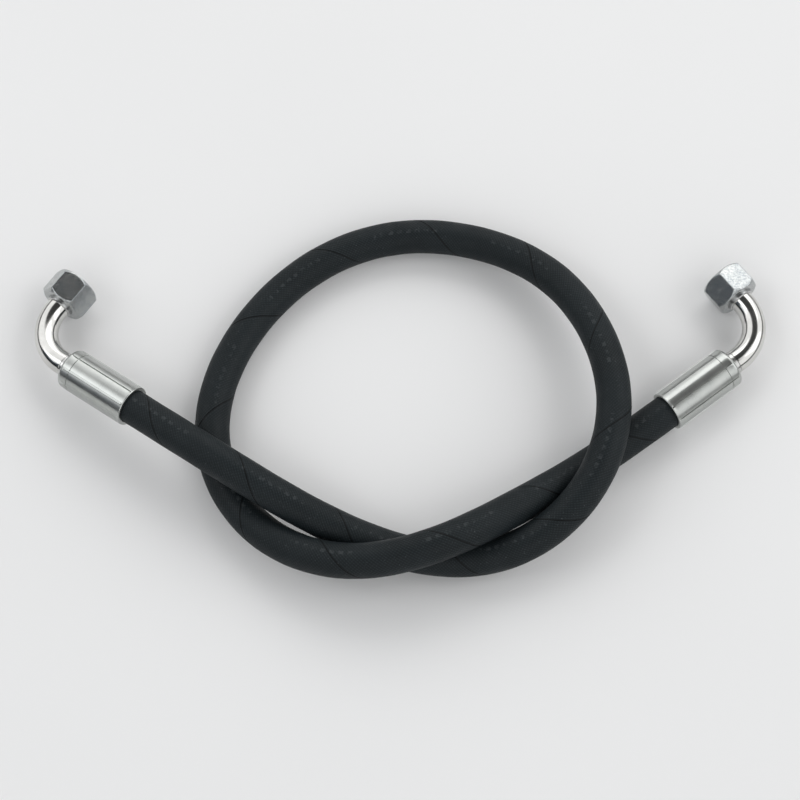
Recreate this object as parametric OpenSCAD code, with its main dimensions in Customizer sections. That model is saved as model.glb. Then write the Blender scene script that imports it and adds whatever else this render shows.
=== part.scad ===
/* Hydraulic hose assembly: a one-wire-braid rubber hose with a crimped fitting on each end. */
/* Each fitting is a swept 90 degree elbow with a captive hexagonal swivel nut.              */

/* [Hose] */
// Outside diameter of the rubber cover
hose_d = 17.4; // [17.2:0.1:17.5]
// Inside diameter of the hose
hose_bore_d = 9.9; // [9.8:0.1:10]
// Outside diameter of the wire braid
braid_d = 14.9; // [14.7:0.1:15.1]
// Outside diameter of the rubber inner tube
tube_d = 13.1; // [13:0.1:13.3]

/* [Ferrule] */
// Outside diameter of the crimped ferrule
ferrule_d = 20.8; // [20.2:0.1:21.2]
// Length of the ferrule
ferrule_l = 40.5; // [38:0.5:42]
// Length of hose held inside the ferrule
grip_l = 28; // [27:0.5:29]
// Diameter of the crimp groove near the elbow end
groove_d = 20.2; // [20:0.1:20.6]

/* [Elbow] */
// Outside diameter of the elbow tube
elbow_d = 12; // [11.8:0.1:12.2]
// Bore of the elbow tube
elbow_bore_d = 8; // [7:0.5:9]
// Radius of the bend, at the middle of the tube
bend_r = 22; // [21:0.5:22.5]
// Straight tube and collar between the ferrule and the bend
stem_l = 6; // [5:0.5:8]
// Angle by which the right nut is turned down below level
right_dip = 1; // [0:0.5:2]

/* [Nut] */
// Width of the nut across its flats
nut_af = 22; // [21.8:0.1:22.2]
// Length of the nut
nut_l = 15; // [14.8:0.1:15.4]
// Minor diameter of the nut's pipe thread, G 3/8
thread_minor_d = 14.95; // [14.9:0.01:15]
// Turn of the left nut about its own axis
left_turn = 14; // [-30:1:30]
// Turn of the right nut about its own axis
right_turn = 14; // [-30:1:30]

/* [Hidden] */
$fn = 96;

// Guide points of the hose, left end first: x, y and the height of the hose above the floor.
// The hose follows the smooth curve (uniform cubic B-spline) that these points guide. It makes
// one open loop and passes over, under and over itself.
route = [
    // Straight out of the left fitting, up and over the left side of the loop
    [-190, 3, 4], [-155, -22, 10], [-120, -47, 16], [-83, -73, 22],
    // Down to the floor, under the other end
    [-42, -95, 8], [5, -113, 0], [48, -114, 1],
    // Round the lower right and over the other end
    [84, -94, 13], [105, -56, 21], [104, -11, 18],
    // Back to the floor, along the top and down the left side
    [83, 34, 9], [46, 59, 2], [0, 66, 0], [-42, 51, 0], [-76, 18, 0], [-96, -25, 0],
    // Round the lower left, under the first end
    [-94, -68, 0], [-67, -105, 2],
    // Over the first end, and down again
    [-24, -122, 14], [20, -113, 23], [57, -88, 9],
    // Under the right side of the loop and straight into the right fitting
    [85, -69, 0], [114, -49, 1], [154, -19, 3], [194, 11, 5]
];
spans = len(route) - 3;
steps = 3;
rings = spans * steps + 1;
sides = 12;

// The fittings stand on the straight stretches at the two ends of the route.
left_end = guide(0);
right_end = guide(spans);
left_dir = unit(route[0] - route[2]);
right_dir = unit(route[len(route) - 1] - route[len(route) - 3]);

// Places along a fitting, from the end of the hose
mouth = -grip_l;
ferrule_end = ferrule_l - grip_l;
bend_start = ferrule_end + stem_l;

// Places along the nut's own axis, from the end of the bend
head_start = 1.5;
nut_start = head_start + 1.6;
wire_d = 1.4;
wire_at = nut_start + 3.2;
seat_at = nut_start + 6.6;
nose_at = seat_at + 3.4;
head_r = 6.9;
nut_bore_r = head_r + 0.06;
wire_clear = 0.06;
relief_r = 8.5;
thread_r = thread_minor_d / 2;
seat_r = thread_r - 0.35;
ring_d = 1.5;

function unit(v) = v / norm(v);
function blend(a, b, c, d, t) =
    (pow(1 - t, 3) * a + (3 * pow(t, 3) - 6 * t * t + 4) * b
    + (-3 * pow(t, 3) + 3 * t * t + 3 * t + 1) * c + pow(t, 3) * d) / 6;
function span(u) = min(floor(u), spans - 1);
function lifted(p) = [p[0], p[1], p[2] + hose_d / 2];
function guide(u) =
    let (i = span(u))
    lifted(blend(route[i], route[i + 1], route[i + 2], route[i + 3], u - i));
function heading(u) = unit(guide(min(u + 0.05, spans)) - guide(max(u - 0.05, 0)));
function level(d) = unit([d[1], -d[0], 0]);
function ring(u, r) =
    let (d = heading(u), s = level(d), n = cross(s, d))
    [for (k = [0.5:sides - 0.5]) guide(u) + r * (cos(360 * k / sides) * s + sin(360 * k / sides) * n)];

// Triangles between two loops of points, which start at index a and index b.
function band(a, b) = [
    for (k = [0:sides - 1])
    let (m = (k + 1) % sides)
    each [[a + k, a + m, b + m], [a + k, b + m, b + k]]
];

// A hollow flexible layer along the route.
module layer(outer_r, inner_r) {
    outer = [for (i = [0:rings - 1]) each ring(i / steps, outer_r)];
    inner = [for (i = [0:rings - 1]) each ring(i / steps, inner_r)];
    n = rings * sides;
    last = n - sides;
    skin = [for (i = [0:rings - 2]) each band(i * sides, (i + 1) * sides)];
    lining = [for (i = [0:rings - 2]) each band(n + (i + 1) * sides, n + i * sides)];
    ends = concat(band(n, 0), band(last, n + last));
    polyhedron(concat(outer, inner), concat(skin, lining, ends), convexity = 8);
}

module hose_inner_tube() {
    color("dimgray") layer(tube_d / 2, hose_bore_d / 2);
}

module hose_wire_braid() {
    color("goldenrod") layer(braid_d / 2, tube_d / 2 + 0.1);
}

module hose_cover() {
    color([0.12, 0.13, 0.14]) layer(hose_d / 2, braid_d / 2 + 0.1);
}

// Places a fitting: +X runs out of the hose, and the elbow turns towards +Y.
module at_end(end, dir, roll) {
    translate(end)
        rotate([roll, -asin(dir[2]), atan2(dir[1], dir[0])])
            children();
}

module at_left() {
    at_end(left_end, left_dir, 180) children();
}

module at_right() {
    at_end(right_end, right_dir, -right_dip) children();
}

// Places a piece on the nut's axis: +Z runs out through the nut, from the end of the bend.
module on_nut_axis() {
    translate([bend_start + bend_r, bend_r, 0])
        rotate([-90, 0, 0])
            children();
}

// A turned piece along +X, from points of radius and distance.
module turned_x(profile) {
    rotate([0, 90, 0])
        rotate_extrude()
            polygon(profile);
}

// Crimped shell that squeezes the hose onto the insert.
module ferrule() {
    r = ferrule_d / 2;
    wall = hose_d / 2 + 0.2;
    lock_r = 7.6;
    groove_at = ferrule_end - 6;
    color("silver") turned_x([
        [wall, mouth], [r - 0.6, mouth], [r, mouth + 0.8],
        [r, groove_at - 0.3], [groove_d / 2, groove_at - 0.3], [groove_d / 2, groove_at + 0.3],
        [r, groove_at + 0.3], [r, ferrule_end - 2], [r - 1.6, ferrule_end],
        [lock_r, ferrule_end], [lock_r, 2.5], [wall, 2.5]
    ]);
}

// Barbed insert: it holds the hose from inside, and the ferrule locks on its groove.
module insert() {
    barb_r = 4.6;
    root_r = 4.2;
    bore_r = 3.4;
    lock_r = 7.55;
    pitch = 5;
    barbs = [for (i = [0:4]) each [
        [root_r, mouth + 2 + i * pitch], [barb_r, mouth + 2 + (i + 1) * pitch - 0.6],
        [barb_r, mouth + 2 + (i + 1) * pitch - 0.2]
    ]];
    color("gainsboro") turned_x(concat(
        [[bore_r, mouth + 1], [root_r - 0.2, mouth + 1]],
        barbs,
        [
            [root_r, mouth + 27.4], [root_r, 0.3], [lock_r, 0.3 + 1.2],
            [lock_r, ferrule_end], [6.2, ferrule_end], [6.2, ferrule_end + 3],
            [bore_r, ferrule_end + 3]
        ]
    ));
}

// Section of the elbow tube, as a ring.
module tube_section() {
    difference() {
        circle(d = elbow_d);
        circle(d = elbow_bore_d);
    }
}

// Swept elbow tube between the insert's collar and the cone head.
module elbow_tube() {
    start = ferrule_end + 3;
    color("lightgray") union() {
        translate([start, 0, 0])
            rotate([0, 90, 0])
                linear_extrude(bend_start - start)
                    tube_section();
        translate([bend_start, bend_r, 0])
            rotate([0, 0, -90])
                rotate_extrude(angle = 90)
                    translate([bend_r, 0])
                        tube_section();
        on_nut_axis()
            linear_extrude(head_start)
                tube_section();
    }
}

// Cone head: collar, neck with the wire groove, shoulder and 60 degree sealing cone.
module cone_head() {
    bore_r = elbow_bore_d / 2;
    ring_at = seat_at + 1.2;
    cone = (seat_r - bore_r - 0.4) / (nose_at - seat_at);
    color("gainsboro") on_nut_axis() difference() {
        rotate_extrude()
            polygon([
                [bore_r, head_start], [6.75, head_start], [head_r, head_start + 0.3],
                [head_r, seat_at - 1], [seat_r, seat_at - 1], [seat_r, seat_at],
                [bore_r + 0.4, nose_at], [bore_r, nose_at]
            ]);
        translate([0, 0, wire_at])
            rotate_extrude()
                translate([head_r, 0])
                    circle(d = wire_d + 2 * wire_clear, $fn = 32);
        translate([0, 0, ring_at])
            rotate_extrude()
                translate([seat_r - cone * 1.2, 0])
                    circle(d = ring_d, $fn = 32);
    }
}

// Soft seal in the groove of the cone.
module o_ring() {
    cone = (seat_r - elbow_bore_d / 2 - 0.4) / (nose_at - seat_at);
    color([0.1, 0.1, 0.1]) on_nut_axis()
        translate([0, 0, seat_at + 1.2])
            rotate_extrude()
                translate([seat_r - cone * 1.2, 0])
                    circle(d = ring_d - 0.04, $fn = 32);
}

// Round wire that holds the nut on the head: half in each groove.
module retaining_wire() {
    color("gray") on_nut_axis()
        translate([0, 0, wire_at])
            rotate_extrude()
                translate([head_r, 0])
                    circle(d = wire_d, $fn = 32);
}

// Outline of the nut's blank, with both ends chamfered at 45 degrees.
module nut_blank() {
    corner_r = nut_af / sqrt(3);
    end_r = nut_af / 2 - 0.5;
    drop = corner_r - end_r;
    intersection() {
        linear_extrude(nut_l)
            circle(r = corner_r, $fn = 6);
        rotate_extrude()
            polygon([
                [0, 0], [end_r, 0], [corner_r, drop],
                [corner_r, nut_l - drop], [end_r, nut_l], [0, nut_l]
            ]);
    }
}

// Swivel nut: plain bore on the head, wire groove, relief and threaded mouth.
module swivel_nut(turn) {
    shoulder = seat_at - 1 - nut_start - 0.4;
    thread_from = nose_at - nut_start + 0.3;
    mouth_r = thread_r + 0.9;
    color([0.75, 0.77, 0.78]) on_nut_axis()
        translate([0, 0, nut_start])
            rotate([0, 0, turn])
                difference() {
                    nut_blank();
                    rotate_extrude()
                        polygon([
                            [0, -1], [nut_bore_r, -1], [nut_bore_r, shoulder],
                            [relief_r, shoulder], [relief_r, thread_from], [thread_r, thread_from],
                            [thread_r, nut_l - 0.9], [mouth_r, nut_l], [mouth_r, nut_l + 1], [0, nut_l + 1]
                        ]);
                    translate([0, 0, wire_at - nut_start])
                        rotate_extrude()
                            translate([head_r, 0])
                                circle(d = wire_d + 2 * wire_clear, $fn = 32);
                }
}

hose_inner_tube();
hose_wire_braid();
hose_cover();
at_left() ferrule();  // left_ferrule
at_left() insert();  // left_insert
at_left() elbow_tube();  // left_elbow_tube
at_left() cone_head();  // left_cone_head
at_left() o_ring();  // left_o_ring
at_left() swivel_nut(left_turn);  // left_swivel_nut
at_left() retaining_wire();  // left_retaining_wire
at_right() ferrule();  // right_ferrule
at_right() insert();  // right_insert
at_right() elbow_tube();  // right_elbow_tube
at_right() cone_head();  // right_cone_head
at_right() o_ring();  // right_o_ring
at_right() swivel_nut(right_turn);  // right_swivel_nut
at_right() retaining_wire();  // right_retaining_wire
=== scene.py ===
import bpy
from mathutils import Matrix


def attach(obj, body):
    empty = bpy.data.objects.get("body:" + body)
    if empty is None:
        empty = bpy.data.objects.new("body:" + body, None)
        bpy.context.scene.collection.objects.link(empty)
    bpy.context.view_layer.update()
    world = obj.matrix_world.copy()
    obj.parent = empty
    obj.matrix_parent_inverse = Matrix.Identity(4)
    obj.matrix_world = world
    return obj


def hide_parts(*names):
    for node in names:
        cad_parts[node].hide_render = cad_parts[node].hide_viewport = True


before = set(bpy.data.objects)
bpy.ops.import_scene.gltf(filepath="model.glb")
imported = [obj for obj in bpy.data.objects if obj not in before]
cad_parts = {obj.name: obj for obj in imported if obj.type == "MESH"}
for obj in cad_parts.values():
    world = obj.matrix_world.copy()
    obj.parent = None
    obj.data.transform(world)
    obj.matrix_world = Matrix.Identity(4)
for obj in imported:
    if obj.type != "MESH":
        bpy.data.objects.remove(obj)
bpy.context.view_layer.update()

import math

import bmesh
import bpy
from mathutils import Matrix, Vector

MM = 0.001
TAU = 2 * math.pi

# ---------------------------------------------------------------- camera
CAMERA_AIM = Vector((-0.001, -0.025, 0.0))
CAMERA_ELEVATION = math.radians(67)
CAMERA_DISTANCE = 1.03

camera_data = bpy.data.cameras.new("camera")
camera_data.lens = 92
camera_data.sensor_width = 36
camera_data.clip_start = 0.05
camera_data.clip_end = 20
camera = bpy.data.objects.new("camera", camera_data)
bpy.context.scene.collection.objects.link(camera)
camera.location = CAMERA_AIM + CAMERA_DISTANCE * Vector(
    (0, -math.cos(CAMERA_ELEVATION), math.sin(CAMERA_ELEVATION)))
camera.rotation_euler = (math.pi / 2 - CAMERA_ELEVATION, 0, 0)
bpy.context.scene.camera = camera

# ---------------------------------------------------------------- sizes, as in the CAD
HOSE_R = 8.7 * MM
BRAID_R = 7.45 * MM
LINER_R = 6.55 * MM
BORE_R = 4.95 * MM
GRIP = 28 * MM
FERRULE_R = 10.4 * MM
FERRULE_END = 12.5 * MM
STEM_END = FERRULE_END + 3 * MM
BEND_START = FERRULE_END + 6 * MM
BEND_R = 22 * MM
TUBE_R = 6 * MM
TUBE_BORE_R = 4 * MM
HEAD_START = 1.5 * MM
NUT_START = HEAD_START + 1.6 * MM
NUT_L = 15 * MM
NUT_AF = 22 * MM
NUT_TURN = 14
SEAT = NUT_START + 6.6 * MM
NOSE = SEAT + 3.4 * MM
HEAD_R = 6.9 * MM
SEAT_R = 7.125 * MM
THREAD_MINOR_R = 7.475 * MM
THREAD_MAJOR_R = 8.33 * MM
THREAD_PITCH = 25.4 / 19 * MM

# The hose's guide points: x, y and the height of the hose above the floor.
ROUTE = [
    (-0.190, 0.003, 0.004), (-0.155, -0.022, 0.010), (-0.120, -0.047, 0.016), (-0.083, -0.073, 0.022),
    (-0.042, -0.095, 0.008), (0.005, -0.113, 0.000), (0.048, -0.114, 0.001),
    (0.084, -0.094, 0.013), (0.105, -0.056, 0.021), (0.104, -0.011, 0.018),
    (0.083, 0.034, 0.009), (0.046, 0.059, 0.002), (0.000, 0.066, 0.000), (-0.042, 0.051, 0.000),
    (-0.076, 0.018, 0.000), (-0.096, -0.025, 0.000),
    (-0.094, -0.068, 0.000), (-0.067, -0.105, 0.002),
    (-0.024, -0.122, 0.014), (0.020, -0.113, 0.023), (0.057, -0.088, 0.009),
    (0.085, -0.069, 0.000), (0.114, -0.049, 0.001), (0.154, -0.019, 0.003), (0.194, 0.011, 0.005),
]
SPANS = len(ROUTE) - 3


def guide(u):
    """The middle of the hose at u spans along the smooth curve that the route guides."""
    i = min(int(u), SPANS - 1)
    t = u - i
    weights = ((1 - t) ** 3, 3 * t ** 3 - 6 * t * t + 4, -3 * t ** 3 + 3 * t * t + 3 * t + 1, t ** 3)
    point = sum((Vector(ROUTE[i + k]) * w for k, w in enumerate(weights)), Vector()) / 6
    return point + Vector((0, 0, HOSE_R))


def walk(step, samples=4000):
    """Points along the hose, evenly spaced, with the direction at each, and the hose's whole length."""
    fine = [guide(SPANS * i / samples) for i in range(samples + 1)]
    at = [0.0]
    for a, b in zip(fine, fine[1:]):
        at.append(at[-1] + (b - a).length)
    count = round(at[-1] / step)
    points, j = [], 0
    for i in range(count + 1):
        want = at[-1] * i / count
        while j < len(at) - 2 and at[j + 1] < want:
            j += 1
        points.append(fine[j].lerp(fine[j + 1], (want - at[j]) / (at[j + 1] - at[j])))
    heads = []
    for i in range(count + 1):
        heads.append((points[min(i + 1, count)] - points[max(i - 1, 0)]).normalized())
    return points, heads, at[-1]


PATH, HEADINGS, HOSE_LENGTH = walk(1.5 * MM)


# ---------------------------------------------------------------- materials
class Nodes:
    """A small helper that adds shader nodes and links them."""

    def __init__(self, name):
        self.material = bpy.data.materials.new(name)
        self.material.use_nodes = True
        self.tree = self.material.node_tree
        self.shader = self.tree.nodes["Principled BSDF"]

    def add(self, kind, values=None, **settings):
        node = self.tree.nodes.new(kind)
        for key, value in settings.items():
            setattr(node, key, value)
        for key, value in (values or {}).items():
            if isinstance(value, bpy.types.NodeSocket):
                self.tree.links.new(value, node.inputs[key])
            else:
                node.inputs[key].default_value = value
        return node

    def math(self, operation, a, b=0.0):
        return self.add("ShaderNodeMath", {0: a, 1: b}, operation=operation).outputs[0]

    def noise(self, scale, detail=2.0, vector=None, rough=0.5):
        values = {"Scale": scale, "Detail": detail, "Roughness": rough}
        values["Vector"] = vector or self.object_place()
        return self.add("ShaderNodeTexNoise", values).outputs["Fac"]

    def object_place(self):
        return self.add("ShaderNodeTexCoord").outputs["Object"]

    def uv(self):
        return self.add("ShaderNodeUVMap", uv_map="UVMap").outputs["UV"]

    def stretched(self, vector, x, y, z=1.0):
        return self.add("ShaderNodeMapping", {"Vector": vector, "Scale": (x, y, z)}).outputs["Vector"]

    def ramp(self, value, *stops):
        node = self.add("ShaderNodeValToRGB", {"Fac": value})
        elements = node.color_ramp.elements
        while len(elements) < len(stops):
            elements.new(0.5)
        for element, (place, colour) in zip(elements, stops):
            element.position = place
            level = colour if isinstance(colour, tuple) else (colour,) * 3
            element.color = (*level, 1)
        return node.outputs["Color"]

    def mix(self, factor, a, b):
        node = self.tree.nodes.new("ShaderNodeMix")
        node.data_type = "RGBA"
        sockets = {s.identifier: s for s in node.inputs}
        for key, value in (("Factor_Float", factor), ("A_Color", a), ("B_Color", b)):
            if isinstance(value, bpy.types.NodeSocket):
                self.tree.links.new(value, sockets[key])
            elif isinstance(value, tuple):
                sockets[key].default_value = (*value, 1)
            else:
                sockets[key].default_value = value
        return next(s for s in node.outputs if s.identifier == "Result_Color")

    def bump(self, height, strength, distance):
        node = self.add("ShaderNodeBump", {"Height": height, "Strength": strength, "Distance": distance})
        return node.outputs["Normal"]

    def set(self, **values):
        names = {"colour": "Base Color", "metal": "Metallic", "rough": "Roughness", "normal": "Normal",
                 "specular": "Specular IOR Level"}
        for key, value in values.items():
            socket = self.shader.inputs[names[key]]
            if isinstance(value, bpy.types.NodeSocket):
                self.tree.links.new(value, socket)
            elif isinstance(value, tuple):
                socket.default_value = (*value, 1)
            else:
                socket.default_value = value
        return self.material


def cover_rubber():
    """Black cover with the print of the cloth that it was wrapped in, a faint line of plain bars, and painted shade
    along the tape's lap groove.
    """
    n = Nodes("cover_rubber")
    parts = n.add("ShaderNodeSeparateXYZ", {"Vector": n.uv()})
    # The mesh columns follow the tape's spiral, so across is 0 on the tape's edge. Both are in millimetres.
    across, along = parts.outputs["X"], parts.outputs["Y"]
    # Ribs and weft cross the hose at 45 degrees, so both coordinates stretch their pitch by the root of 2.
    rib_pitch, weft_pitch = 1.15 * math.sqrt(2), 1.35 * math.sqrt(2)
    rib = n.math("SINE", n.math("MULTIPLY", across, TAU / rib_pitch))
    over = n.math("SUBTRACT", n.math("MULTIPLY", along, 2.0), across)
    weft = n.math("SINE", n.math("MULTIPLY", over, TAU / weft_pitch))
    cloth = n.math("ADD", n.math("MULTIPLY", rib, 0.55), n.math("MULTIPLY", weft, 0.3))
    grain = n.noise(2600, 3)
    height = n.math("ADD", cloth, n.math("MULTIPLY", grain, 1.1))
    cloudy = n.noise(38, 4)
    colour = n.ramp(cloudy, (0.3, (0.0048, 0.0078, 0.0092)), (0.7, (0.0082, 0.0124, 0.0145)))
    dots = n.ramp(n.noise(1500, 1), (0.7, 0.0), (0.76, 1.0))
    colour = n.mix(n.math("MULTIPLY", dots, 0.35), colour, (0.13, 0.145, 0.15))
    worn = n.ramp(n.math("MULTIPLY", n.math("ADD", cloth, 0.85), 0.6), (0.45, 0.0), (1.0, 1.0))
    colour = n.mix(n.math("MULTIPLY", worn, 0.30), colour, (0.040, 0.052, 0.057))
    # The line of bars: where it lies and its half width, as parts of a turn round the hose, then the pitch of
    # the bars and of their groups in millimetres, with the part of each pitch that is left empty.
    line_at, line_half = 0.27, 0.017
    bar_pitch, bar_gap, group_pitch, group_gap = 4.6, 0.45, 64.0, 0.42
    turn = n.math("FRACT", n.math("DIVIDE", n.math("SUBTRACT", across, along), TAU * HOSE_R / MM))
    stripe = n.math("LESS_THAN", n.math("ABSOLUTE", n.math("SUBTRACT", turn, line_at)), line_half)
    bars = n.math("GREATER_THAN", n.math("FRACT", n.math("DIVIDE", along, bar_pitch)), bar_gap)
    group = n.math("GREATER_THAN", n.math("FRACT", n.math("DIVIDE", along, group_pitch)), group_gap)
    mark = n.math("MULTIPLY", n.math("MULTIPLY", stripe, bars), group)
    mark = n.math("MULTIPLY", mark, n.ramp(n.noise(420, 2), (0.42, 0.0), (0.6, 1.0)))
    colour = n.mix(n.math("MULTIPLY", mark, 0.20), colour, (0.11, 0.12, 0.125))
    # Painted shade: the colour goes nearly black along the tape's lap groove, from the tape's edge to about a
    # millimetre past it, where shade falls in the groove.
    seam_shade_reach = 3.0
    seam = n.ramp(n.math("DIVIDE", across, seam_shade_reach), (0.0, 0.8), (0.22, 0.9), (0.34, 0.0))
    colour = n.mix(seam, colour, (0.0012, 0.0016, 0.0018))
    rough = n.ramp(n.noise(120, 3), (0.3, 0.50), (0.75, 0.64))
    return n.set(colour=colour, rough=rough, specular=0.22, normal=n.bump(height, 0.5, 0.00010))


def layer_rubber(name):
    n = Nodes(name)
    colour = n.ramp(n.noise(60, 3), (0.3, (0.012, 0.012, 0.012)), (0.7, (0.022, 0.022, 0.021)))
    rough = n.ramp(n.noise(300, 2), (0.3, 0.42), (0.7, 0.55))
    return n.set(colour=colour, rough=rough, normal=n.bump(n.noise(1800, 2), 0.3, 0.00005))


def braid_wire():
    """Brass-coated wire, laid in two crossing directions."""
    n = Nodes("braid_wire")
    parts = n.add("ShaderNodeSeparateXYZ", {"Vector": n.uv()})
    across, along = parts.outputs["X"], parts.outputs["Y"]
    wire_pitch = 0.45
    one = n.math("SINE", n.math("MULTIPLY", across, TAU / wire_pitch))
    over = n.math("SUBTRACT", n.math("MULTIPLY", along, 2), across)
    two = n.math("SINE", n.math("MULTIPLY", over, TAU / wire_pitch))
    weave = n.math("MAXIMUM", one, two)
    colour = n.ramp(weave, (0.0, (0.16, 0.11, 0.05)), (0.8, (0.72, 0.60, 0.36)))
    return n.set(colour=colour, metal=1.0, rough=n.ramp(weave, (0.0, 0.5), (1.0, 0.28)),
                 normal=n.bump(weave, 0.8, 0.0002))


def turned_steel(name, light, dark, rough, marks, mottle=0.2, haze=0.16):
    """Zinc-plated steel with fine turning marks round its own axis. UVs are in millimetres: round, along."""
    n = Nodes(name)
    lines = n.noise(1.0, 3, n.stretched(n.uv(), 0.05, 7.0), 0.7)
    fine = n.noise(1.0, 2, n.stretched(n.uv(), 0.5, 24.0), 0.6)
    stain = n.noise(150, 4)
    colour = n.mix(n.ramp(stain, (0.35, 0.0), (0.7, 1.0)), dark, light)
    colour = n.mix(n.math("MULTIPLY", lines, 0.35), colour, dark)
    spots = n.ramp(n.noise(1300, 2), (0.3, 0.0), (0.42, 1.0))
    colour = n.mix(n.math("MULTIPLY", n.math("SUBTRACT", 1.0, spots), mottle), colour, (0.12, 0.125, 0.13))
    # Noise lies round 0.5, so half of what each noise adds is taken off again.
    line_haze = 0.10
    gloss = n.math("ADD", n.math("MULTIPLY", stain, haze), n.math("MULTIPLY", lines, line_haze))
    gloss = n.math("ADD", gloss, rough - haze / 2 - line_haze / 2)
    height = n.math("ADD", lines, n.math("MULTIPLY", fine, 0.5))
    return n.set(colour=colour, metal=1.0, rough=gloss, normal=n.bump(height, marks, 0.00004))


def bright_tube():
    """Bright-plated bent tube, with faint draw lines along it."""
    n = Nodes("tube_bright")
    draw = n.noise(1.0, 3, n.stretched(n.uv(), 5.0, 0.05), 0.6)
    film = n.noise(90, 4)
    colour = n.mix(n.ramp(film, (0.35, 0.0), (0.7, 1.0)), (0.60, 0.595, 0.575), (0.74, 0.735, 0.71))
    dust = n.ramp(n.noise(1900, 1), (0.72, 0.0), (0.8, 1.0))
    colour = n.mix(n.math("MULTIPLY", dust, 0.4), colour, (0.3, 0.3, 0.3))
    gloss = n.math("ADD", n.math("MULTIPLY", film, 0.10), 0.085)
    height = n.math("ADD", n.math("MULTIPLY", draw, 1.0), n.math("MULTIPLY", n.noise(700, 2), 0.35))
    return n.set(colour=colour, metal=1.0, rough=gloss, normal=n.bump(height, 0.10, 0.00006))


def nut_zinc():
    """Bright zinc on a cold-formed hexagon: a fine dimpled skin that breaks up what it mirrors."""
    n = Nodes("nut_zinc")
    dimple = n.noise(1500, 3, rough=0.6)
    broad = n.noise(420, 2)
    stain = n.noise(110, 4)
    colour = n.mix(n.ramp(stain, (0.35, 0.0), (0.7, 1.0)), (0.45, 0.47, 0.475), (0.55, 0.56, 0.55))
    specks = n.ramp(n.noise(1000, 2), (0.40, 1.0), (0.58, 0.0))
    colour = n.mix(n.math("MULTIPLY", specks, 0.40), colour, (0.22, 0.25, 0.27))
    gloss = n.math("ADD", n.math("MULTIPLY", broad, 0.12), 0.14)
    height = n.math("ADD", dimple, n.math("MULTIPLY", broad, 0.4))
    return n.set(colour=colour, metal=1.0, rough=gloss, normal=n.bump(height, 0.7, 0.00019))


MATERIALS = {
    "cover": cover_rubber(),
    "liner": layer_rubber("inner_rubber"),
    "seal": layer_rubber("seal_rubber"),
    "braid": braid_wire(),
    "ferrule": turned_steel("ferrule_zinc", (0.52, 0.535, 0.515), (0.45, 0.465, 0.45), 0.29, 0.12, 0.04, 0.05),
    "insert": turned_steel("insert_zinc", (0.72, 0.72, 0.70), (0.52, 0.52, 0.51), 0.24, 0.3),
    "head": turned_steel("head_zinc", (0.72, 0.72, 0.70), (0.50, 0.50, 0.50), 0.24, 0.3),
    "wire": turned_steel("wire_drawn", (0.50, 0.50, 0.50), (0.32, 0.32, 0.33), 0.32, 0.2),
    "tube": bright_tube(),
    "nut": nut_zinc(),
}


# ---------------------------------------------------------------- meshes
def finish_piece(name, mesh, material, body, nodes, sharp=30):
    """Makes a piece from a mesh, and hides the CAD parts that it stands in for."""
    mesh.materials.append(MATERIALS[material])
    for face in mesh.polygons:
        face.use_smooth = True
    mesh.set_sharp_from_angle(angle=math.radians(sharp))
    piece = bpy.data.objects.new(name, mesh)
    bpy.context.scene.collection.objects.link(piece)
    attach(piece, body)
    if nodes:
        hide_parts(*nodes)
    return piece


def grid_mesh(name, rows, uvs, place=None):
    """A closed skin over rows of points, with its faces outward. Each row closes on itself, and the last row
    joins the first. uvs has one more row and one more column than rows, for the places where it closes."""
    columns, count = len(rows[0]), len(rows)
    mesh = bpy.data.meshes.new(name)
    faces, corners = [], []
    for i in range(count):
        j = (i + 1) % count
        for k in range(columns):
            m = (k + 1) % columns
            faces.append((i * columns + k, i * columns + m, j * columns + m, j * columns + k))
            corners += [uvs[i][k], uvs[i][k + 1], uvs[i + 1][k + 1], uvs[i + 1][k]]
    mesh.from_pydata([p for row in rows for p in row], [], faces)
    layer = mesh.uv_layers.new(name="UVMap")
    for loop, corner in zip(layer.data, corners):
        loop.uv = corner
    mesh.update()
    if place:
        mesh.transform(place)
    bm = bmesh.new()
    bm.from_mesh(mesh)
    bmesh.ops.recalc_face_normals(bm, faces=bm.faces)
    bm.to_mesh(mesh)
    bm.free()
    return mesh


# The tape's edge, as narrow columns in the cover's mesh: (mm past the edge, depth of the groove there in mm).
SEAM_STEPS = [(0, 0.0), (0.16, 0.22), (0.34, 0.24), (0.62, 0.06), (1.1, 0.0)]


def hose_layer(name, outer, inner, columns, seam, every=1):
    """A hollow layer of the hose. Its columns of faces follow the tape's spiral, 45 degrees at the cover."""
    circumference = TAU * HOSE_R
    angles = [TAU * k / columns for k in range(columns)]
    if seam:
        angles = [past * MM / HOSE_R for past, _ in SEAM_STEPS]
        last, spare = angles[-1], columns - len(SEAM_STEPS)
        angles += [last + (TAU - last) * (k + 1) / (spare + 1) for k in range(spare)]
    shoulder, waviness, undersize = 0.05 * MM, 0.03 * MM, 0.08 * MM
    rows, uvs = [], []
    indices = list(range(0, len(PATH), every))
    if indices[-1] != len(PATH) - 1:
        indices.append(len(PATH) - 1)
    for radius, order in ((outer, indices), (inner, indices[::-1])):
        for i in order:
            d = HEADINGS[i]
            side = Vector((d.y, -d.x, 0)).normalized()
            up = side.cross(d)
            s = HOSE_LENGTH * i / (len(PATH) - 1)
            twist = -TAU * s / circumference
            row = []
            for k, a in enumerate(angles):
                r = radius
                if seam and radius == outer:
                    # The lap of the tape: a groove, then a low shoulder that fades round the hose.
                    if k < len(SEAM_STEPS):
                        r -= SEAM_STEPS[k][1] * MM
                    r += shoulder * math.exp(-3.0 * a)
                    r += waviness * math.sin(s / (21 * MM) + 2.1 * a) - undersize
                row.append(PATH[i] + r * (math.cos(a + twist) * side + math.sin(a + twist) * up))
            rows.append(row)
            uvs.append([(a * HOSE_R / MM, s / MM) for a in angles + [TAU]])
    uvs.append(uvs[0])
    return grid_mesh(name, rows, uvs)


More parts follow.
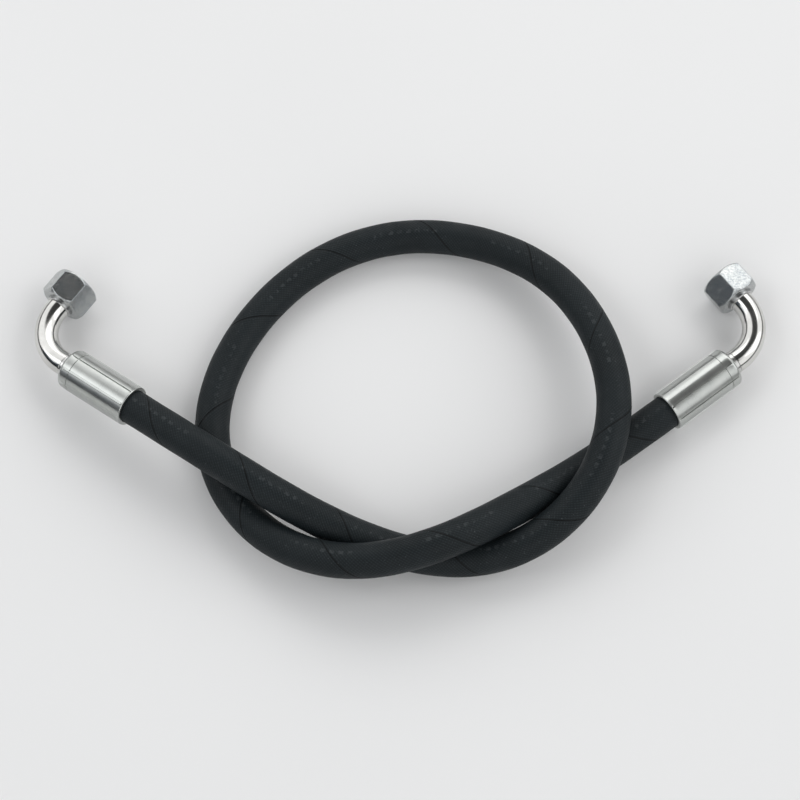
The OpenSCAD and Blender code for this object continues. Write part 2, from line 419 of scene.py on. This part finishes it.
def lathe(name, profile, columns, place, radius_at=None):
    """A closed ring-shaped solid, turned round +X. profile is a loop of (distance, radius) in metres."""
    rows, uvs, along = [], [], 0.0
    for i, (x, r) in enumerate(profile + profile[:1]):
        if i:
            along += math.hypot(x - profile[i - 1][0], r - profile[i - 1][1])
        line = []
        for k in range(columns):
            a = TAU * k / columns
            rr = radius_at(i % len(profile), a, r) if radius_at else r
            line.append(Vector((x, rr * math.cos(a), rr * math.sin(a))))
        rows.append(line)
        uvs.append([(TAU * k / columns * r / MM, along / MM) for k in range(columns + 1)])
    rows.pop()
    return grid_mesh(name, rows, uvs, place)


def arc(cx, cy, radius, start, end, count):
    """Points on an arc, in degrees."""
    turns = [math.radians(start + (end - start) * k / count) for k in range(count + 1)]
    return [(cx + radius * math.cos(a), cy + radius * math.sin(a)) for a in turns]


def ferrule_mesh(name, place, crimp_turn):
    """The crimped shell: eight pressed lands, with a groove and a low ridge side by side between each pair."""
    edge_r, shoulder_r, mouth_r = 0.45 * MM, 1.9 * MM, HOSE_R + 0.12 * MM
    lock_from, lock_r = 2.5 * MM, 7.55 * MM
    # The fine line turned round the shell near its elbow end.
    ring_at, ring_half, ring_r = FERRULE_END - 6 * MM, 0.08 * MM, FERRULE_R - 0.4 * MM
    body = [-GRIP + 0.7 * MM, -GRIP + 1.3 * MM, -GRIP + 2.2 * MM, -GRIP + 14 * MM, 4 * MM,
            ring_at - 0.4 * MM, ring_at - 0.2 * MM]
    after = [ring_at + 0.2 * MM, ring_at + 0.4 * MM, FERRULE_END - 3.2 * MM, FERRULE_END - shoulder_r]
    profile = [(-GRIP, mouth_r), (-GRIP, FERRULE_R - edge_r)]
    profile += arc(-GRIP + edge_r, FERRULE_R - edge_r, edge_r, 180, 90, 4)[1:]
    first = len(profile)
    profile += [(x, FERRULE_R) for x in body]
    ring_first = len(profile)
    profile += [(ring_at - ring_half, ring_r), (ring_at + ring_half, ring_r)]
    ring_last = len(profile)
    profile += [(x, FERRULE_R) for x in after]
    last = len(profile)
    profile += arc(FERRULE_END - shoulder_r, FERRULE_R - shoulder_r, shoulder_r, 78, 12, 7)
    profile += [(FERRULE_END, FERRULE_R - 2.1 * MM), (FERRULE_END, lock_r), (lock_from, lock_r), (lock_from, mouth_r)]
    land = TAU / 8
    # In millimetres: how far the ridge and the groove reach from their line, and how high each surface lies.
    reach, line_at, half_land = 0.6, -0.02, 4.1
    ridge, groove, land_middle, land_edge = 0.16, -0.42, -0.10, 0.07

    def radius_at(i, a, r):
        if i < first or i >= last or ring_first <= i < ring_last:
            return r
        fade = 0.35 if i in (first, last - 1) else 1.0
        off = ((a + land / 2 - crimp_turn) % land - land / 2) * FERRULE_R / MM
        if line_at < off < reach:
            rise = ridge
        elif -reach < off <= line_at:
            rise = groove
        else:
            # Each land is pressed a little flatter than round.
            rise = land_middle + land_edge * (off / half_land) ** 2
        return r + fade * rise * MM

    return lathe(name, profile, 480, place, radius_at)


def tube_mesh(name, place):
    """The swept elbow tube, hollow, from the insert's collar to the cone head."""
    stations = []
    for k, x in enumerate((0.05, 0.15, 0.4, 1.2, 2.4)):
        x = STEM_END + x * MM
        stations.append((Vector((x, 0, 0)), Vector((0, 1, 0)), x))
    quarter, steps = math.pi / 2, 60
    for k in range(steps + 1):
        a = quarter * k / steps
        centre = Vector((BEND_START + BEND_R * math.sin(a), BEND_R - BEND_R * math.cos(a), 0))
        stations.append((centre, Vector((-math.sin(a), math.cos(a), 0)), BEND_START + BEND_R * a))
    end = Vector((BEND_START + BEND_R, BEND_R + HEAD_START, 0))
    stations.append((end, Vector((-1, 0, 0)), BEND_START + BEND_R * quarter + HEAD_START))
    columns = 96
    flattening, end_step, end_reach = 0.022, 0.05, 0.35 * MM
    rows, uvs = [], []
    for radius, order in ((TUBE_R, stations), (TUBE_BORE_R, stations[::-1])):
        for centre, normal, s in order:
            angles = [TAU * k / columns for k in range(columns + 1)]
            # A drawn bend is a little flatter on its outer side.
            bend = math.sin(max(0.0, min(1.0, (s - BEND_START) / (BEND_R * quarter))) * math.pi)
            row = []
            for a in angles[:-1]:
                flat = 1 - flattening * bend * max(0.0, -math.cos(a)) ** 2
                if radius == TUBE_R:
                    # The end is rounded where it meets the insert's collar.
                    flat -= end_step * max(0.0, 1 - (s - STEM_END) / end_reach) ** 2
                row.append(centre + radius * (math.cos(a) * flat * normal + math.sin(a) * Vector((0, 0, 1))))
            rows.append(row)
            uvs.append([(a * TUBE_R / MM, s / MM) for a in angles])
    uvs.append(uvs[0])
    return grid_mesh(name, rows, uvs, place)


def nut_mesh(name, place):
    """The swivel nut: a hexagon chamfered at both ends, with a real helical thread inside."""
    corner_round, counterbore = 0.45 * MM, 5.2 * MM
    corner_mid = (NUT_AF / 2 - corner_round) / math.cos(math.pi / 6)
    tangent = math.atan2(corner_round / 2, corner_mid + corner_round * math.cos(math.pi / 6))
    # Columns gather at the corners: each is an angle from its own corner, from -30 to 30 degrees.
    near = [0, 0.33, 0.67, 1, 1.5]
    half = [tangent * n for n in near]
    half += [half[-1] + (math.pi / 6 - half[-1]) * (k + 1) / 12 for k in range(12)]
    offsets = [-a for a in half[:0:-1]] + half[:-1]
    angles = [math.radians(NUT_TURN) + TAU * c / 6 + a for c in range(6) for a in offsets]

    def hex_radius(a):
        off = abs((a - math.radians(NUT_TURN) + math.pi / 6) % (math.pi / 3) - math.pi / 6)
        if off < tangent:
            return corner_mid * math.cos(off) + math.sqrt(corner_round ** 2 - (corner_mid * math.sin(off)) ** 2)
        return NUT_AF / 2 / math.cos(math.pi / 6 - off)

    end_r = NUT_AF / 2 - 0.5 * MM
    shell_r = THREAD_MAJOR_R + 0.15 * MM
    bore_r = HEAD_R + 0.06 * MM
    thread_from = NOSE - NUT_START - 2.6 * MM
    depth = THREAD_MAJOR_R - THREAD_MINOR_R
    rows, uvs = [], []

    def ring(point):
        """Adds one row; point gives (height, radius) at an angle."""
        row = []
        for a in angles:
            z, r = point(a)
            row.append(Vector((r * math.cos(a), r * math.sin(a), z)))
        rows.append(row)
        uvs.append([(8 * a, len(rows)) for a in angles + [angles[0] + TAU]])

    # The edge between the chamfer and the flat is rounded by these steps, in mm: (past the edge, below the
    # flat). No step lies nearer to the end face than least.
    edge = [(-0.45, 0.225), (-0.2, 0.1), (-0.05, 0.045), (0.08, 0.0125), (0.25, 0.0), (0.5, 0.0)]
    least = 0.16 * MM
    # The rounded edge of an end face: (distance from the end face, radius).
    rim = [(0.0, end_r - 0.4 * MM), (0.0, end_r - 0.12 * MM), (0.045 * MM, end_r - 0.02 * MM),
           (0.14 * MM, end_r + 0.11 * MM)]
    for z, r in [(0.0, bore_r + 0.35 * MM)] + rim:
        ring(lambda a, z=z, r=r: (z, r))
    for past, below in edge:
        ring(lambda a, past=past, below=below: (
            max(hex_radius(a) - end_r + past * MM, least), hex_radius(a) - below * MM))
    for past, below in edge[::-1]:
        ring(lambda a, past=past, below=below: (
            NUT_L - max(hex_radius(a) - end_r + past * MM, least), hex_radius(a) - below * MM))
    for z, r in rim[::-1] + [(0.0, THREAD_MAJOR_R + 0.35 * MM)]:
        ring(lambda a, z=z, r=r: (NUT_L - z, r))
    # The thread runs out over lead_in at the mouth and over run_out at its inner end.
    thread_to, steps, lead_in, run_out = NUT_L - 0.3 * MM, 110, 1.4 * MM, 0.5 * MM
    flank, crest = 2.6, 0.15
    for k in range(steps + 1):
        height = thread_to - (thread_to - thread_from) * k / steps
        out = max(0.0, (height - (NUT_L - lead_in)) / MM)
        start = max(0.0, 1 - (height - thread_from) / run_out)

        def thread(a, height=height, out=out, start=start):
            wave = (height / THREAD_PITCH - a / TAU) % 1.0
            tooth = min(1.0, max(0.0, abs(wave - 0.5) * flank - crest))
            return height, THREAD_MINOR_R + depth * max(tooth, min(1.0, out), min(1.0, start))

        ring(thread)
    inside = [(thread_from - 0.5 * MM, shell_r), (counterbore, shell_r), (counterbore, bore_r), (0.3 * MM, bore_r)]
    for z, r in inside:
        ring(lambda a, z=z, r=r: (z, r))
    uvs.append(uvs[0])
    return grid_mesh(name, rows, uvs, place)


# ---------------------------------------------------------------- hose
ROOT = "hose_and_elbows"

cover = finish_piece("rubber_cover", hose_layer("rubber_cover", HOSE_R, BRAID_R + 0.12 * MM, 76, True),
                     "cover", ROOT, ["hose_cover"])
braid = finish_piece("steel_wire_braid", hose_layer("steel_wire_braid", BRAID_R, LINER_R + 0.1 * MM, 36, False, 2),
                     "braid", ROOT, ["hose_wire_braid"])
liner = finish_piece("rubber_inner_tube", hose_layer("rubber_inner_tube", LINER_R, BORE_R, 36, False, 2),
                     "liner", ROOT, ["hose_inner_tube"])


# ---------------------------------------------------------------- fittings
def fitting_place(end, outward_from, roll):
    """The frame of a fitting: +X runs out of the hose, and the elbow turns towards +Y."""
    direction = (Vector(ROUTE[end]) - Vector(ROUTE[outward_from])).normalized()
    rise = math.asin(direction.z)
    turn = math.atan2(direction.y, direction.x)
    start = guide(0) if end == 0 else guide(SPANS)
    return (Matrix.Translation(start) @ Matrix.Rotation(turn, 4, "Z") @ Matrix.Rotation(-rise, 4, "Y")
            @ Matrix.Rotation(math.radians(roll), 4, "X"))


def build_fitting(side, place, nut_body, crimp_turn):
    """All seven pieces at one end. crimp_turn is how far round the first line between crimp lands sits."""
    on_nut = place @ Matrix.Translation((BEND_START + BEND_R, BEND_R, 0)) @ Matrix.Rotation(-math.pi / 2, 4, "X")
    # A piece turned round +X is stood up so that +X lies along the nut's axis.
    on_head = on_nut @ Matrix.Rotation(-math.pi / 2, 4, "Y")
    ferrule = ferrule_mesh(side + "_crimped_ferrule", place, math.radians(crimp_turn))
    finish_piece(side + "_crimped_ferrule", ferrule, "ferrule", ROOT, [side + "_ferrule"], sharp=24)

    def turned(name, profile, columns, at, material, node):
        """A piece turned round its own axis."""
        mesh = lathe(side + name, profile, columns, at)
        finish_piece(side + name, mesh, material, ROOT, [side + node])

    bore_r, stem_r, barb_r, collar_r, neck_r = 3.4 * MM, 4.2 * MM, 4.6 * MM, 7.5 * MM, 6.2 * MM
    barbs, barb_pitch = [], 5 * MM
    for k in range(5):
        x = -GRIP + 2 * MM + k * barb_pitch
        barbs += [(x, stem_r), (x + 4.4 * MM, barb_r), (x + 4.8 * MM, barb_r)]
    stem = [(-GRIP + 1 * MM, bore_r), (-GRIP + 1 * MM, 4.0 * MM)] + barbs + [
        (-GRIP + 27.4 * MM, stem_r), (0.3 * MM, stem_r), (1.5 * MM, collar_r),
        (FERRULE_END, collar_r), (FERRULE_END, neck_r),
        (STEM_END - 0.35 * MM, neck_r), (STEM_END - 0.1 * MM, 5.9 * MM), (STEM_END, 5.5 * MM), (STEM_END, bore_r)]
    turned("_barbed_insert", stem, 128, place, "insert", "_insert")
    finish_piece(side + "_swept_tube", tube_mesh(side + "_swept_tube", place), "tube", ROOT,
                 [side + "_elbow_tube"])
    wire_at = NUT_START + 3.2 * MM
    slope = (SEAT_R - TUBE_BORE_R - 0.4 * MM) / (NOSE - SEAT)
    ring_x, ring_r = SEAT + 1.2 * MM, SEAT_R - 1.2 * MM * slope
    tilt = math.degrees(math.atan(slope))
    head = [(HEAD_START, TUBE_BORE_R), (HEAD_START, 6.5 * MM), (HEAD_START + 0.25 * MM, 6.75 * MM),
            (HEAD_START + 0.4 * MM, HEAD_R)]
    head += arc(wire_at, HEAD_R, 0.76 * MM, 180, 360, 12)
    head += [(SEAT - 1.2 * MM, HEAD_R), (SEAT - 1.0 * MM, SEAT_R), (SEAT, SEAT_R)]
    head += arc(ring_x, ring_r, 0.75 * MM, 180 - tilt, 360 - tilt, 12)
    head += [(NOSE, TUBE_BORE_R + 0.4 * MM), (NOSE, TUBE_BORE_R)]
    turned("_sealing_head", head, 128, on_head, "head", "_cone_head")
    # The O-ring and the wire are round in section. The last point isn't repeated, since a profile closes itself.
    ring = arc(ring_x, ring_r, 0.73 * MM, 0, 345, 23)
    turned("_sealing_ring", ring, 96, on_head, "seal", "_o_ring")
    wire = arc(wire_at, HEAD_R, 0.69 * MM, 0, 345, 23)
    turned("_nut_wire", wire, 96, on_head, "wire", "_retaining_wire")
    nut_place = on_nut @ Matrix.Translation((0, 0, NUT_START))
    finish_piece(side + "_hexagon_nut", nut_mesh(side + "_hexagon_nut", nut_place), "nut", nut_body,
                 [side + "_swivel_nut"])


LEFT_PLACE = fitting_place(0, 2, 180)
RIGHT_PLACE = fitting_place(len(ROUTE) - 1, len(ROUTE) - 3, -1)
build_fitting("left", LEFT_PLACE, "left_nut", 19)
build_fitting("right", RIGHT_PLACE, "right_nut", 15)


# ---------------------------------------------------------------- floor and light
def floor_material():
    n = Nodes("pale_floor")
    colour = n.ramp(n.noise(3, 2), (0.3, 0.86), (0.7, 0.88))
    return n.set(colour=colour, rough=0.6, specular=0.2)


bpy.ops.mesh.primitive_plane_add(size=8)
floor = bpy.context.active_object
floor.name = "floor"
floor.data.materials.append(floor_material())


def softbox(name, place, width, height, power, colour=(1, 1, 1)):
    """A rectangular light that faces the origin."""
    data = bpy.data.lights.new(name, "AREA")
    data.shape = "RECTANGLE"
    data.size, data.size_y = width, height
    data.energy = power
    data.color = colour
    light = bpy.data.objects.new(name, data)
    light.location = place
    light.rotation_euler = (-Vector(place)).to_track_quat("-Z", "Y").to_euler()
    bpy.context.scene.collection.objects.link(light)


softbox("back_box", (0.35, 1.15, 1.10), 1.5, 0.75, 3.8, (1.0, 0.995, 0.98))
softbox("left_box", (-1.35, -0.05, 1.25), 0.7, 1.3, 3.2, (0.97, 0.985, 1.0))
softbox("right_box", (1.35, 0.05, 1.2), 0.7, 1.3, 3.2)


def studio_world():
    """A pale tent with a dark opening overhead, a dark foot and one dark flag low on the left, fixed in space."""
    world = bpy.data.worlds.new("studio")
    world.use_nodes = True
    tree = world.node_tree
    background = tree.nodes["Background"]

    def add(kind, **inputs):
        node = tree.nodes.new(kind)
        for key, value in inputs.items():
            if isinstance(value, bpy.types.NodeSocket):
                tree.links.new(value, node.inputs[key])
            else:
                node.inputs[key].default_value = value
        return node

    place = add("ShaderNodeTexCoord").outputs["Generated"]
    height = add("ShaderNodeSeparateXYZ", Vector=place).outputs["Z"]
    bands = add("ShaderNodeValToRGB", Fac=height)
    # (sine of the height above the horizon, brightness)
    stops = [(0.0, 0.03), (0.17, 0.03), (0.23, 1.05), (0.40, 1.22), (0.80, 1.22), (0.845, 0.07), (1.0, 0.05)]
    elements = bands.color_ramp.elements
    while len(elements) < len(stops):
        elements.new(0.5)
    for element, (at, level) in zip(elements, stops):
        element.position = at
        element.color = (level, level * 1.005, level * 1.01, 1)
    towards = tree.nodes.new("ShaderNodeVectorMath")
    towards.operation = "DOT_PRODUCT"
    tree.links.new(place, towards.inputs[0])
    towards.inputs[1].default_value = (-0.93, -0.31, 0.20)
    flag = add("ShaderNodeValToRGB", Fac=towards.outputs["Value"])
    outside, inside = flag.color_ramp.elements
    outside.position, outside.color = 0.86, (1, 1, 1, 1)
    inside.position, inside.color = 0.91, (0.06, 0.07, 0.085, 1)
    both = tree.nodes.new("ShaderNodeVectorMath")
    both.operation = "MULTIPLY"
    tree.links.new(bands.outputs["Color"], both.inputs[0])
    tree.links.new(flag.outputs["Color"], both.inputs[1])
    tree.links.new(both.outputs["Vector"], background.inputs["Color"])
    background.inputs["Strength"].default_value = 1.0
    bpy.context.scene.world = world


studio_world()
bpy.context.scene.view_settings.view_transform = "Standard"
bpy.context.scene.view_settings.look = "None"
